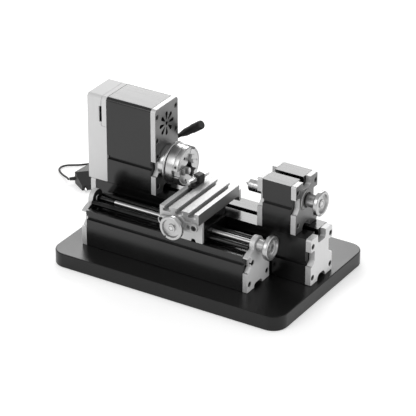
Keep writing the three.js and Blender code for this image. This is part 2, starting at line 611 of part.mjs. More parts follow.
function spindle() {
  const { y, z, r, bore, x0, nose } = SPINDLE;
  const flange = 20;
  const backOfChuck = CHUCK.ringX0 - GAP;
  const shaft = turned('x', [
    [bore, x0], [r, x0], [r, HEAD.x1 + HEAD.plate + GAP], [flange, HEAD.x1 + HEAD.plate + GAP],
    [flange, backOfChuck], [r - 1, backOfChuck], [r - 1, nose + 4], [bore, nose + 4], [bore, x0],
  ], y, z, 24);
  piece('spindle', shaft, 'steel');

  const { x0: p0, x1: p1, spindle: big, motor: small, belt } = PULLEY;
  const pulley = (radius, inner) => [
    [inner, p0], [radius + 1.8, p0], [radius + 1.8, p0 + 1], [radius, p0 + 1.4], [radius, p1 - 1.4],
    [radius + 1.8, p1 - 1], [radius + 1.8, p1], [inner, p1], [inner, p0],
  ];
  piece('spindle_pulley', turned('x', pulley(big, r + GAP), y, z, 20), 'pale');

  const motorPulley = turned('x', pulley(small, MOTOR.shaft - 0.5), y, MOTOR.z, 24);
  const shaftOut = rod('x', MOTOR.shaft, p0, MOTOR.x0 + 10, y, MOTOR.z, 16);
  piece('motor_pulley', join(motorPulley, shaftOut), 'pale');

  const loop = (grow) => {
    const [low, high] = [big + grow, small + grow];
    const lean = Math.asin((low - high) / (MOTOR.z - z));
    const shape = new THREE.Shape();
    shape.absarc(y, z, low, Math.PI - lean, 2 * Math.PI + lean, false);
    shape.absarc(y, MOTOR.z, high, lean, Math.PI - lean, false);
    return shape;
  };
  const [b0, b1] = [p0 + 1.8, p1 - 1.8];
  const beltBody = cut(
    prism('x', loop(GAP + belt), b0, b1, 10),
    prism('x', loop(GAP), b0 - PAST, b1 + PAST, 10),
  );
  piece('drive_belt', beltBody, 'rubber');
}

function chuck() {
  const { ring, ringX0, ringX1, r, face, hub, bore } = CHUCK;
  const { y, z } = SPINDLE;
  const body = turned('x', [
    [bore, ringX0], [hub, ringX0], [hub, ringX1 + GAP], [r - 0.8, ringX1 + GAP], [r, ringX1 + GAP + 0.8],
    [r, face - 1], [r - 1, face], [bore, face], [bore, ringX0],
  ], y, z, 36);
  const noseWay = rod('x', SPINDLE.r - 1 + GAP, ringX0 - PAST, SPINDLE.nose + 4.5, y, z, 20);
  const slots = jawAngles().map((angle) =>
    box(face - JAW.root - GAP, face + PAST, -JAW.wide / 2 - GAP, JAW.wide / 2 + GAP, 1, r + PAST)
      .rotate([-angle, 0, 0]).translate([0, y, z]));
  const keys = jawAngles().map((angle) =>
    rod('z', KEY.r, r - KEY.deep, r + PAST, KEY.x, 0, 12)
      .rotate([-(angle + KEY.turn), 0, 0]).translate([0, y, z]));
  piece('chuck_body', cut(body, noseWay, ...slots, ...keys), 'chrome');

  const scroll = turned('x', [
    [hub + GAP, ringX0], [ring - 0.6, ringX0], [ring, ringX0 + 0.6], [ring, ringX1 - 0.6],
    [ring - 0.6, ringX1], [hub + GAP, ringX1], [hub + GAP, ringX0],
  ], y, z, 36);
  piece('chuck_scroll_ring', scroll, 'chrome');

  jawAngles().forEach((angle, i) => {
    const group = new THREE.Group();
    group.position.set(face, y, z);
    group.rotation.x = THREE.MathUtils.degToRad(-angle);
    lathe.add(group);
    piece(`chuck_jaw_${i + 1}`, jaw(), 'chrome', group);
  });
}

// The jaws' directions, in degrees from +Z towards +Y.
function jawAngles() {
  return Array.from({ length: JAW.count }, (_, i) => JAW.turn + (i * 360) / JAW.count);
}

// A stepped jaw pointing along +Z from the chuck's centre, with the chuck's face at x = 0.
function jaw() {
  const { wide, inner, outer, root, reach } = JAW;
  const side = polygon([
    [-root, inner], [reach, inner], [reach, inner + 4.6], [reach - 2.8, inner + 4.6],
    [reach - 2.8, inner + 9.4], [reach - 5.6, inner + 9.4], [reach - 5.6, outer], [-root, outer],
  ]);
  const block = prism('y', side, -wide / 2, wide / 2);
  // The gripping end is a blunt point, so that the jaws can close together.
  const bevel = [-1, 1].map((s) =>
    box(-root - PAST, reach + PAST, 0, 8, inner - 8, inner + 1.6)
      .rotate([0, 0, s > 0 ? 0 : 180]).translate([0, s * 2.3, 0]));
  return cut(block, ...bevel);
}

// ---- Tailstock -------------------------------------------------------------------------------

function tailstock() {
  const { x0, x1, top, plate, slot, boss, dark } = TAIL;
  const [inX0, inX1] = [x0 + GAP, x1 - GAP];
  const { y, z } = SPINDLE;
  const [y0, y1] = [y - BAR / 2, y + BAR / 2];
  const bar = cut(
    box(inX0, inX1, y0, y1, SEAT, top),
    teeSlot('x', y, top, slot, 3, 7, inX0 - PAST, inX1 + PAST),
    ...sideGrooves(inX0 - PAST, inX1 + PAST, y, 104.9, 110.1),
    rod('x', QUILL.r + GAP, inX0 - PAST, inX1 + PAST, y, z, 24),
    box(inX0 - PAST, inX1 + PAST, y0 + 5, y - 3, SEAT + 5, z - 12),
    box(inX0 - PAST, inX1 + PAST, y + 3, y1 - 5, SEAT + 5, z - 12),
  );
  piece('tailstock_body', bar, 'black');

  const plateAt = (a, b) => cut(
    prism('x', roundRect(y0, y1, SEAT, top, [0.8, 0.8, 2, 2]), a, b, 3),
    topNotch(a, b, y, top),
    bottomNotch(a, b, y, SEAT, 7),
    ...edgeNotches(a, b, y, 109),
  );
  const quillWay = rod('x', QUILL.r + GAP, x0 - plate - PAST, x0 + PAST, y, z, 24);
  piece('tailstock_left_plate', cut(plateAt(x0 - plate, x0), quillWay), 'pale');
  const screwWay = rod('x', SCREW.r + GAP, x1 - PAST, x1 + plate + 3, y, z, 16);
  const ringFace = x1 + plate + TAIL.ring;
  const right = cut(
    join(plateAt(x1, x1 + plate), rod('x', boss, x1 + plate - PAST, ringFace, y, z, 24)),
    rod('x', dark, x1 + plate - 0.6, ringFace + PAST, y, z, 24),
    screwWay,
  );
  piece('tailstock_right_plate', right, 'pale');

  const teeZ = REAR.top - 7 + GAP;
  const nut = join(
    box(86, 108, y - 5.3, y + 5.3, teeZ, REAR.top - 3 - GAP),
    box(88, 106, y - REAR.slot / 2 + GAP, y + REAR.slot / 2 - GAP, teeZ, SEAT - GAP),
  );
  piece('tailstock_clamp_nut', nut, 'steel');
}

function quill() {
  const { x0, x1, r, bore, boreX, point, cone } = QUILL;
  const { y, z } = SPINDLE;
  const socket = { r: 3.1, deep: 12 };
  const sleeve = cut(
    turned('x', [[0, x0], [r - 0.8, x0], [r, x0 + 0.8], [r, x1], [0, x1]], y, z, 24),
    rod('x', socket.r, x0 - PAST, x0 + socket.deep, y, z, 16),
    rod('x', bore, boreX, x1 + PAST, y, z, 16),
  );
  piece('quill', sleeve, 'steel');
  const centre = turned('x', [
    [0, point], [cone, x0 - 0.4], [socket.r - GAP, x0 - 0.4], [socket.r - GAP, x0 + socket.deep - 1],
    [0, x0 + socket.deep - 1],
  ], y, z, 20);
  piece('dead_centre', centre, 'steel');

  const end = SCREW.wheel - WHEEL.recess;
  const neck = TAIL.x1 + TAIL.plate + TAIL.ring;
  const screw = [[0, SCREW.x0], [SCREW.r, SCREW.x0], [SCREW.r, neck], [SCREW.r - 0.5, neck],
    [SCREW.r - 0.5, end], [0, end]];
  piece('tailstock_screw', turned('x', screw, y, z, 16), 'steel');
  piece('tailstock_handwheel', handwheel(neck + GAP, SCREW.wheel, y, z), 'chrome');
}

// ---- Clamp lever -----------------------------------------------------------------------------

// A bar with round ends whose radii change from one end to the other.
function taperedBar(from, to, stations, sides = 14) {
  const long = from.distanceTo(to);
  const points = stations.map(([r, share]) => new THREE.Vector2(r, share * long));
  const geometry = new THREE.LatheGeometry(points, sides);
  const towards = new THREE.Vector3().subVectors(to, from).normalize();
  geometry.applyQuaternion(new THREE.Quaternion().setFromUnitVectors(new THREE.Vector3(0, 1, 0), towards));
  return solid(geometry.translate(from.x, from.y, from.z));
}

function clampLever() {
  const { x, z, r, y0, y1, armY } = LEVER;
  const root = new THREE.Vector3(x, armY, z);
  const at = (share) => new THREE.Vector3().lerpVectors(root, LEVER_TIP, share);
  const way = rod('y', STUD.r + GAP, y0, y1 + PAST, x, z, 14);
  const stud = rod('y', STUD.r, y0, y1 + 1, x, z, 14);
  const washer = rod('y', STUD.washer, y0, y0 + 1.2, x, z, 18);
  piece('lever_stud', join(stud, washer), 'steel');
  const hub = turned('y', [
    [0, y0 + 1.5], [r - 0.8, y0 + 1.5], [r, y0 + 2.3], [r, y1 - 1.5], [r - 1.5, y1], [0, y1],
  ], x, z, 24);
  const arm = taperedBar(root, at(0.4), [[0, 0], [3, 0], [2.4, 1], [0, 1]]);
  piece('clamp_lever', cut(join(hub, arm), way), 'dark');
  const grip = taperedBar(at(0.41), LEVER_TIP, [
    [0, 0], [2.9, 0], [3.2, 0.05], [4.5, 0.24], [4.6, 0.52], [5.2, 0.56], [5.2, 0.95], [4.7, 1], [0, 1],
  ], 20);
  piece('lever_grip', grip, 'plastic');
}

// ---- Power lead ------------------------------------------------------------------------------

// A round tube along a smooth curve through the route's points.
function tube(route) {
  const curve = new THREE.CatmullRomCurve3(route.map((point) => new THREE.Vector3(...point)));
  const section = new THREE.Shape().absarc(0, 0, CORD.r, 0, 2 * Math.PI, false);
  return solid(new THREE.ExtrudeGeometry(section, {
    extrudePath: curve,
    steps: Math.round(curve.getLength() / CORD.step),
    curveSegments: CORD.sides / 2,
    bevelEnabled: false,
  }));
}

function powerLead() {
  const { x, y, z, r, tip, long } = GLAND;
  const gland = turned('y', [
    [CORD.r + GAP, y], [r + 2, y], [r + 2, y + 2], [r, y + 2], [tip, y + long],
    [CORD.r + GAP, y + long], [CORD.r + GAP, y],
  ], x, z, 18);
  piece('cord_gland', gland, 'rubber');
  piece('cord_lead', tube(LEAD_ROUTE), 'rubber');
  const { z0, z1, inner, outer } = COIL;
  const ring = turned('z', [
    [inner, z0], [outer, z0], [outer, z1], [inner, z1], [inner, z0],
  ], COIL.x, COIL.y, 24);
  piece('cord_coil', ring, 'rubber');
  piece('cord_tail', tube(TAIL_ROUTE), 'rubber');
}

// The plug lies flat on the bench, its lead coming out of its side.
function plug() {
  const group = new THREE.Group();
  group.position.set(PLUG.x, PLUG.y, 0);
  group.rotation.z = THREE.MathUtils.degToRad(-PLUG.turn);
  lathe.add(group);
  const { back, nose, wide, tip, tall, thin } = PLUG;
  // The back is cut askew on the side where the lead comes in.
  const plan = polygon([
    [-1, -wide - 0.5], [nose, -tip], [nose, tip], [-back + 4, wide], [-back, wide - 4], [-back, 5],
  ]);
  const { along, z, r0, r1, from, neck, to } = PLUG_CORD;
  const relief = turned('y', [[0, from], [r1, from], [r0, neck], [r0, to], [0, to]], along, z, 16);
  const socket = rod('y', CORD.r + GAP, from - PAST, neck - 2, along, z, 12);
  // Its top slopes down to a thin nose.
  const slope = prism('y', polygon([
    [0, tall], [nose + PAST, thin - 0.4], [nose + PAST, tall + PAST], [0, tall + PAST],
  ]), -wide - 2 * PAST, wide + 2 * PAST);
  const body = cut(prism('z', plan, 0, tall), slope);
  piece('power_plug', cut(join(body, relief), socket), 'plastic', group);
  [-1, 1].forEach((half, i) => {
    const pin = rod('x', PIN.r, nose + GAP, nose + PIN.long, half * PIN.apart, thin / 2, 12);
    piece(`plug_pin_${i + 1}`, pin, 'steel', group);
  });
}

// ---- The whole lathe -------------------------------------------------------------------------

baseBoard();
frontBed();
rearBed();
leadscrew();
carriage();
crossSlide();
crossFeed();
toolPost();
headstock();
beltCover();
spindle();
chuck();
tailstock();
quill();
clampLever();
powerLead();
plug();

export default lathe;
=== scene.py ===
import json
import math

import bmesh
import bpy
from mathutils import Matrix, Vector


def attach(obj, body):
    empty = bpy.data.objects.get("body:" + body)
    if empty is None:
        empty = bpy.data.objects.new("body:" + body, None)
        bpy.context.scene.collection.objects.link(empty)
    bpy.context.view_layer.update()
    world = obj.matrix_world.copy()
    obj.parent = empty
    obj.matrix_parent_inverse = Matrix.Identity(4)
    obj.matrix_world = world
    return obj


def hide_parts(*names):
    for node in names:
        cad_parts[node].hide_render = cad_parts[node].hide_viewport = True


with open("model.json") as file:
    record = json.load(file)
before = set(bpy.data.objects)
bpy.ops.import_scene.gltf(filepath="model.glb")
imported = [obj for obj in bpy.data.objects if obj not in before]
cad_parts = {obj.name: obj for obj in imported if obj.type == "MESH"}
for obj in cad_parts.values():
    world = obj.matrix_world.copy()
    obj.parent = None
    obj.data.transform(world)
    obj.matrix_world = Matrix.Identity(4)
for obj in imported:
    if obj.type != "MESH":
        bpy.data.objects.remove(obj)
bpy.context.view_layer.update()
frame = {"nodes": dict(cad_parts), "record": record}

MM = 0.001
NODES = frame["nodes"]
RECORD = frame["record"]
BODY_OF = {node: body for body, nodes in RECORD["behaviour"]["bodies"].items() for node in nodes}
SLOT_OF = {part["node"]: part["material_slot"] for part in RECORD["subparts"]}

# Points on the axes that pieces turn on, in millimetres.
SPINDLE = Vector((0, 8, 109.5))
MOTOR = Vector((0, 8, 156))
LEADSCREW = Vector((0, -42.2, 68))
CROSS_FEED = Vector((8.5, 0, 86.5))


# ---- Camera ----------------------------------------------------------------------------------

def add_camera():
    """A long lens from the right of the front and from above."""
    data = bpy.data.cameras.new("camera")
    data.sensor_width = 36
    data.lens = 223.18
    camera = bpy.data.objects.new("camera", data)
    camera.location = (1.34115, -2.16949, 1.41415)
    elevation, azimuth = 27.81, 31.72
    camera.rotation_euler = (math.radians(90 - elevation), 0, math.radians(azimuth))
    bpy.context.collection.objects.link(camera)
    bpy.context.scene.camera = camera


# ---- Materials -------------------------------------------------------------------------------

NOISE_LOW, NOISE_HIGH = 0.3, 0.7  # most values of a noise lie between these
RELIEF = 0.0002  # depth of a fine surface grain, in metres


class Nodes:
    """A short way to write a material's nodes."""

    def __init__(self, name):
        self.material = bpy.data.materials.new(name)
        self.material.use_nodes = True
        self.tree = self.material.node_tree
        self.shader = self.tree.nodes["Principled BSDF"]

    def add(self, kind, values=(), **settings):
        node = self.tree.nodes.new(kind)
        for key, value in settings.items():
            setattr(node, key, value)
        for socket, value in dict(values).items():
            self.feed(node.inputs[socket], value)
        return node

    def feed(self, socket, value):
        """Links another node's output to a socket, or sets a constant on it."""
        if isinstance(value, bpy.types.NodeSocket):
            self.tree.links.new(value, socket)
        else:
            socket.default_value = value

    def set(self, **values):
        """Feeds the shader's own sockets, with _ for each space in a socket's name."""
        for key, value in values.items():
            self.feed(self.shader.inputs[key.replace("_", " ")], value)

    def place(self):
        return self.add("ShaderNodeTexCoord").outputs["Object"]

    def stretched(self, vector, scale):
        return self.add("ShaderNodeMapping", {"Vector": vector, "Scale": scale}).outputs["Vector"]

    def noise(self, vector, scale, detail=3.0, rough=0.55):
        values = {"Vector": vector, "Scale": scale, "Detail": detail, "Roughness": rough}
        return self.add("ShaderNodeTexNoise", values).outputs["Fac"]

    def between(self, noise, low, high):
        values = {
            "Value": noise, "From Min": NOISE_LOW, "From Max": NOISE_HIGH, "To Min": low, "To Max": high,
        }
        return self.add("ShaderNodeMapRange", values).outputs["Result"]

    def tint(self, value, dark, light, start=NOISE_LOW, end=NOISE_HIGH):
        ramp = self.add("ShaderNodeValToRGB", {"Fac": value})
        ramp.color_ramp.elements[0].position = start
        ramp.color_ramp.elements[0].color = (*dark, 1)
        ramp.color_ramp.elements[1].position = end
        ramp.color_ramp.elements[1].color = (*light, 1)
        return ramp.outputs["Color"]

    def bump(self, height, strength, distance=RELIEF):
        values = {"Height": height, "Strength": strength, "Distance": distance}
        return self.add("ShaderNodeBump", values).outputs["Normal"]

    def math(self, operation, *values):
        node = self.add("ShaderNodeMath", operation=operation)
        for socket, value in zip(node.inputs, values):
            self.feed(socket, value)
        return node.outputs["Value"]


def grey(value):
    return (value, value, value)


def painted_board():
    """Black satin paint with a little orange peel."""
    n = Nodes("board")
    place = n.place()
    cloud = n.noise(place, 14)
    peel = n.noise(place, 1100, 2)
    n.set(
        Base_Color=n.tint(cloud, grey(0.004), grey(0.006)),
        Roughness=n.between(cloud, 0.27, 0.33),
        Normal=n.bump(peel, 0.05),
        Specular_IOR_Level=0.32,
    )
    return n.material


def extruded(name, dark, light, rough):
    """An anodised bar: faint streaks along X."""
    n = Nodes(name)
    place = n.place()
    streaks = n.noise(n.stretched(place, (14, 1400, 1400)), 1, 4)
    cloud = n.noise(place, 30)
    n.set(
        Base_Color=n.tint(cloud, grey(dark), grey(light)),
        Roughness=n.between(streaks, rough - 0.04, rough + 0.05),
        Normal=n.bump(streaks, 0.02),
        IOR=1.54,
    )
    return n.material


def machined(name, dark, light, rough, metallic, depth=0.12):
    """Milled or bead-blasted metal: fine grain with soft clouds."""
    n = Nodes(name)
    place = n.place()
    fine = n.noise(n.stretched(place, (500, 700, 500)), 1.6, 4, 0.7)
    cloud = n.noise(place, 45, 4)
    mixed = n.math("ADD", n.math("MULTIPLY", fine, 0.6), n.math("MULTIPLY", cloud, 0.4))
    n.set(
        Base_Color=n.tint(mixed, grey(dark), grey(light)),
        Roughness=n.between(fine, rough - 0.06, rough + 0.08),
        Normal=n.bump(fine, depth),
        Metallic=metallic,
    )
    return n.material


def painted_cover():
    """Pale satin coating with a fine vertical grain."""
    n = Nodes("cover_aluminium")
    place = n.place()
    fine = n.noise(n.stretched(place, (900, 900, 30)), 1.5, 4, 0.65)
    cloud = n.noise(place, 22, 3)
    mixed = n.math("ADD", n.math("MULTIPLY", fine, 0.5), n.math("MULTIPLY", cloud, 0.5))
    n.set(
        Base_Color=n.tint(mixed, grey(0.6), grey(0.66)),
        Roughness=n.between(fine, 0.42, 0.52),
        Normal=n.bump(fine, 0.05),
        Specular_IOR_Level=0.2,
    )
    return n.material


def turned_metal(name, dark, light, rough, depth=0.1):
    """Turned metal: fine rings about the X axis of the piece's own frame."""
    n = Nodes(name)
    place = n.place()
    split = n.add("ShaderNodeSeparateXYZ", {"Vector": place})
    x, y, z = (split.outputs[k] for k in "XYZ")
    radius = n.math("SQRT", n.math("ADD", n.math("MULTIPLY", y, y), n.math("MULTIPLY", z, z)))
    joined = n.add("ShaderNodeCombineXYZ", {"X": x, "Y": radius})
    fine = n.noise(joined.outputs["Vector"], 2600, 3, 0.6)
    broad = n.noise(joined.outputs["Vector"], 420, 2)
    cloud = n.noise(place, 90, 3)
    mixed = n.math("ADD", n.math("MULTIPLY", broad, 0.6), n.math("MULTIPLY", cloud, 0.4))
    n.set(
        Base_Color=n.tint(mixed, grey(dark), grey(light)),
        Roughness=n.between(mixed, rough - 0.05, rough + 0.06),
        Normal=n.bump(fine, depth),
        Metallic=1.0,
    )
    return n.material


def moulded(name, dark, light, rough, grain, depth):
    """Plastic or rubber with a fine even grain."""
    n = Nodes(name)
    place = n.place()
    cloud = n.noise(place, 60)
    fine = n.noise(place, grain, 3, 0.6)
    n.set(
        Base_Color=n.tint(cloud, grey(dark), grey(light)),
        Roughness=n.between(fine, rough - 0.05, rough + 0.07),
        Normal=n.bump(fine, depth),
    )
    return n.material


def brass_metal():
    n = Nodes("brass")
    place = n.place()
    fine = n.noise(n.stretched(place, (300, 900, 900)), 1.5, 3)
    n.set(
        Base_Color=n.tint(fine, (0.62, 0.44, 0.17), (0.78, 0.6, 0.28)),
        Roughness=n.between(fine, 0.26, 0.38),
        Normal=n.bump(fine, 0.1),
        Metallic=1.0,
    )
    return n.material


def screw_thread():
    """Steel with a thread of 1 mm pitch about the X axis of the piece's own frame, with painted shade in
    its roots and paler crests.
    """
    n = Nodes("screw_thread")
    place = n.place()
    split = n.add("ShaderNodeSeparateXYZ", {"Vector": place})
    turn = n.math("ARCTAN2", split.outputs["Y"], split.outputs["Z"])
    along = n.math("MULTIPLY", split.outputs["X"], 2 * math.pi / MM)
    wave = n.math("SINE", n.math("ADD", along, turn))
    cloud = n.noise(place, 60, 3)
    n.set(
        # Painted shade: darker in the thread's roots, paler on its crests.
        Base_Color=n.tint(wave, grey(0.3), grey(0.6), 0.0, 1.0),
        Roughness=n.between(cloud, 0.28, 0.36),
        Normal=n.bump(wave, 0.12, 0.0001),
        Metallic=1.0,
    )
    return n.material


def floor_material():
    """A matt floor that gives off some light, so that it comes out white."""
    n = Nodes("pale_floor")
    cloud = n.noise(n.place(), 3)
    n.set(
        Base_Color=n.tint(cloud, grey(0.84), grey(0.86)),
        Roughness=0.9,
        Specular_IOR_Level=0.0,
        Emission_Color=(1, 1, 1, 1),
        Emission_Strength=0.4,
    )
    return n.material


MATERIALS = {
    "board": painted_board(),
    "black_anodised": extruded("black_anodised", 0.001, 0.003, 0.22),
    "machined_aluminium": machined("machined_aluminium", 0.52, 0.64, 0.5, 0.6),
    "milled_aluminium": machined("milled_aluminium", 0.46, 0.56, 0.48, 0.8),
    # A darker copy of the plates' aluminium: painted shade on the right faces of the headstock and
    # tailstock plates.
    "painted_shade_aluminium": machined("painted_shade_aluminium", 0.14, 0.2, 0.35, 0.9),
    # A darker copy of the milled aluminium: painted shade on the table's right side.
    "painted_shade_mill": machined("painted_shade_mill", 0.2, 0.28, 0.4, 0.8),
    "cover_aluminium": painted_cover(),
    "screw_thread": screw_thread(),
    "black_rod": turned_metal("black_rod", 0.02, 0.04, 0.2),
    "ground_steel": turned_metal("ground_steel", 0.5, 0.66, 0.24),
    "chrome": turned_metal("chrome", 0.42, 0.56, 0.3, depth=0.04),
    "brass": brass_metal(),
    "black_oxide": machined("black_oxide", 0.018, 0.03, 0.42, 0.3, depth=0.2),
    "motor_steel": machined("motor_steel", 0.05, 0.08, 0.4, 0.8, depth=0.1),
    "black_plastic": moulded("black_plastic", 0.008, 0.012, 0.42, 1500, 0.15),
    "rubber": moulded("rubber", 0.005, 0.008, 0.5, 1800, 0.12),
}


# ---- Making pieces ---------------------------------------------------------------------------

# Degrees from which an edge stays sharp, on a turned piece and on a bevelled CAD node.
ROUND_TURN, REFINED_TURN = 30, 38


def finish_mesh(obj, turn, weighted):
    """Smooths the faces, and keeps the edges sharp that turn by more than `turn` degrees."""
    mesh = obj.data
    mesh.polygons.foreach_set("use_smooth", [True] * len(mesh.polygons))
    bm = bmesh.new()
    bm.from_mesh(mesh)
    limit = math.radians(turn)
    for edge in bm.edges:
        edge.smooth = len(edge.link_faces) == 2 and edge.calc_face_angle(0) < limit
    bm.to_mesh(mesh)
    bm.free()
    if weighted:
        modifier = obj.modifiers.new("normals", "WEIGHTED_NORMAL")
        modifier.keep_sharp = True


def add_piece(name, bm, body, slot, nodes=(), place=None, turn=36, weighted=True):
    """A piece from a bmesh in metres. `place` is its own frame, where its mesh was made."""
    mesh = bpy.data.meshes.new(name)
    bmesh.ops.recalc_face_normals(bm, faces=bm.faces)
    bm.to_mesh(mesh)
    bm.free()
    mesh.materials.append(MATERIALS[slot])
    obj = bpy.data.objects.new(name, mesh)
    bpy.context.collection.objects.link(obj)
    if place is not None:
        obj.matrix_world = place
    bpy.context.view_layer.update()
    finish_mesh(obj, turn, weighted)
    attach(obj, body)
    if nodes:
        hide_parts(*nodes)
    return obj


def add_round(name, bm, body, slot, nodes=(), place=None):
    """A piece made of turned meshes."""
    return add_piece(name, bm, body, slot, nodes, place, ROUND_TURN, weighted=False)


def refined(node, width=0.25, segments=2, turn=32, finish=None):
    """A CAD node with its edges broken and its round faces smoothed. Edges that turn by more
    than `turn` degrees are bevelled, `width` millimetres wide."""
    bm = bmesh.new()
    bm.from_mesh(NODES[node].data)
    bmesh.ops.remove_doubles(bm, verts=bm.verts, dist=2e-6)
    bmesh.ops.dissolve_limit(bm, angle_limit=math.radians(0.5), verts=bm.verts, edges=bm.edges)
    sharp = [e for e in bm.edges if e.is_manifold and e.calc_face_angle(0) > math.radians(turn)]
    bmesh.ops.bevel(
        bm, geom=sharp, offset=width * MM, segments=segments, profile=0.5, affect="EDGES",
        clamp_overlap=True,
    )
    obj = add_piece(f"{node}_fine", bm, BODY_OF[node], SLOT_OF[node], (node,), turn=REFINED_TURN)
    if finish:
        obj.data.materials[0] = MATERIALS[finish]
    return obj


def finish_or_painted_shade(obj, finish, chosen):
    """Gives another material to the faces for which chosen(face) holds: a real finish on some pieces,
    painted light and shade on others.
    """
    obj.data.materials.append(MATERIALS[finish])
    for face in obj.data.polygons:
        if chosen(face):
            face.material_index = len(obj.data.materials) - 1


def faces_right(face):
    return face.normal.x > 0.9


def rounded(profile, radius, closed):
    """The profile with a short curve in place of each corner, which takes up to `radius` and up
    to a share of each side."""
    side_share, least = 0.45, 1e-6
    straight = math.radians(165)
    points = [Vector(p) for p in profile]
    count = len(points)
    result = []
    for i, point in enumerate(points):
        if not closed and i in (0, count - 1):
            result.append(point)
            continue
        before, after = points[i - 1] - point, points[(i + 1) % count] - point
        reach = min(radius, before.length * side_share, after.length * side_share)
        angle = before.angle(after, math.pi)
        if reach < least or angle > straight:
            result.append(point)
            continue
        start, end = point + before.normalized() * reach, point + after.normalized() * reach
        for t in (0.0, 0.33, 0.67, 1.0):
            result.append(start.lerp(point, t).lerp(point.lerp(end, t), t))
    return result


def lathe_mesh(profile, sides, radius, closed=False):
    """A solid of revolution about X from (radius, x) points in millimetres. The profile starts
    and ends on the axis, or is the section of a ring if closed."""
    bm = bmesh.new()
    rings = []
    for r, x in rounded(profile, radius, closed):
        if r < 1e-6:
            rings.append([bm.verts.new((x * MM, 0, 0))])
            continue
        turns = [2 * math.pi * i / sides for i in range(sides)]
        spots = [(x * MM, r * MM * math.sin(t), r * MM * math.cos(t)) for t in turns]
        rings.append([bm.verts.new(spot) for spot in spots])
    pairs = list(zip(rings, rings[1:]))
    if closed:
        pairs.append((rings[-1], rings[0]))
    for a, b in pairs:
        for i in range(sides):
            j = (i + 1) % sides
            corners = [a[i % len(a)], a[j % len(a)], b[j % len(b)], b[i % len(b)]]
            corners = [c for k, c in enumerate(corners) if c not in corners[:k]]
            if len(corners) > 2:
                bm.faces.new(corners)
    return bm


def along_x(y, z, x=0.0):
    """The frame of an axis along X through (y, z), in millimetres."""
    return Matrix.Translation(Vector((x, y, z)) * MM)


def turned(node, profile, centre, sides, radius, closed=False):
    """A turned piece that replaces a CAD node."""
    bm = lathe_mesh(profile, sides, radius, closed)
    place = along_x(centre.y, centre.z)
    return add_round(f"{node}_fine", bm, BODY_OF[node], SLOT_OF[node], (node,), place)


def cutter(bm, place):
    """An object for one boolean cut. cut_away removes it."""
    mesh = bpy.data.meshes.new("cutter")
    bmesh.ops.recalc_face_normals(bm, faces=bm.faces)
    bm.to_mesh(mesh)
    bm.free()
    obj = bpy.data.objects.new("cutter", mesh)
    bpy.context.collection.objects.link(obj)
    obj.matrix_world = place
    return obj


def cut_away(obj, tools, turn=ROUND_TURN, weighted=False):
    """Cuts the tools from obj and removes them."""
    for tool in tools:
        modifier = obj.modifiers.new("cut", "BOOLEAN")
        modifier.object = tool
        modifier.solver = "EXACT"
    bpy.context.view_layer.update()
    evaluated = obj.evaluated_get(bpy.context.evaluated_depsgraph_get())
    mesh = bpy.data.meshes.new_from_object(evaluated)
    obj.modifiers.clear()
    obj.data = mesh
    for tool in tools:
        bpy.data.objects.remove(tool)
    finish_mesh(obj, turn, weighted)


def drill(r, start, end):
    """A plain cylinder along X that cuts a round hole."""
    return lathe_mesh([(0, start), (r, start), (r, end), (0, end)], 20, 0)


def joined(parts):
    """One bmesh from (bmesh, place) pairs."""
    whole = bmesh.new()
    mesh = bpy.data.meshes.new("part")
    for bm, place in parts:
        bmesh.ops.transform(bm, matrix=place, verts=bm.verts)
        bm.to_mesh(mesh)
        bm.free()
        whole.from_mesh(mesh)
    bpy.data.meshes.remove(mesh)
    return whole


def socket_screws(obj, body, face, holes):
    """Socket screws sunk in a face. `face` turns X to point out of it, and (y, z) lie in it."""
    hole_r, head_r, socket_r = 3.3, 3.1, 1.6
    hole_end, head_end, socket_end, top = -2.6, -2.8, -2, -0.5
    sides, past = 28, 1
    hole = [(0, hole_end), (hole_r, hole_end), (hole_r, past), (0, past)]
    head = [
        (0, head_end), (head_r, head_end), (head_r, top), (socket_r, top), (socket_r, socket_end),
        (0, socket_end),
    ]
    spots = [face @ along_x(y, z) for y, z in holes]
    cut_away(obj, [cutter(lathe_mesh(hole, sides, 0), spot) for spot in spots], REFINED_TURN, True)
    heads = joined([(lathe_mesh(head, sides, 0.25), spot) for spot in spots])
    add_round(obj.name.replace("_fine", "_screws"), heads, body, "black_oxide")


# ---- The power lead --------------------------------------------------------------------------

CORD_R = 1.2
COIL_X, COIL_Y = -104, 66
COIL_INNER_R, COIL_LOW_Z = 11.55, 19.15
LAP = 2.45  # from the middle of one turn of the coil to the next
LAYERS = 3
LEAD_ROUTE = [
    (-110, 54.1, 90), (-110, 59, 89.6), (-110.2, 64.5, 88), (-110.5, 70, 84.3), (-111, 74.5, 78.5),
    (-111.5, 77.4, 71.5), (-112, 78.9, 63.5), (-112.7, 79.2, 55), (-113.4, 78.3, 46.5),
    (-114.2, 76, 38.8), (-115, 72.6, 32.2), (-115.5, 68.5, 27.9),
]
TAIL_ROUTE = [
    (-114.7, 82.45, 19.15), (-122, 83.2, 19.05), (-129.5, 86.2, 19), (-136, 91.4, 18.95),
    (-142, 98, 18.4), (-147.8, 105, 14.8), (-153.2, 111.8, 8.8), (-159, 118.4, 3.7),
    (-166, 125, 1.5), (-175, 132, 1.25), (-186, 138.5, 1.25), (-199, 143, 1.25), (-213, 144.7, 1.25),
    (-226, 143.6, 1.25), (-237, 140.2, 1.25), (-245.7, 135.2, 1.25), (-252, 129, 1.25),
    (-258, 122.8, 1.25), (-264.6, 118.2, 1.25), (-270.6, 113.8, 1.25), (-274.2, 107.6, 1.25),
    (-273.2, 100.6, 1.25), (-268.4, 95, 1.25), (-262, 90.6, 1.4), (-255.4, 86.6, 2.2),
    (-249.4, 82.6, 3.6), (-244.6, 78.4, 4.8),
]


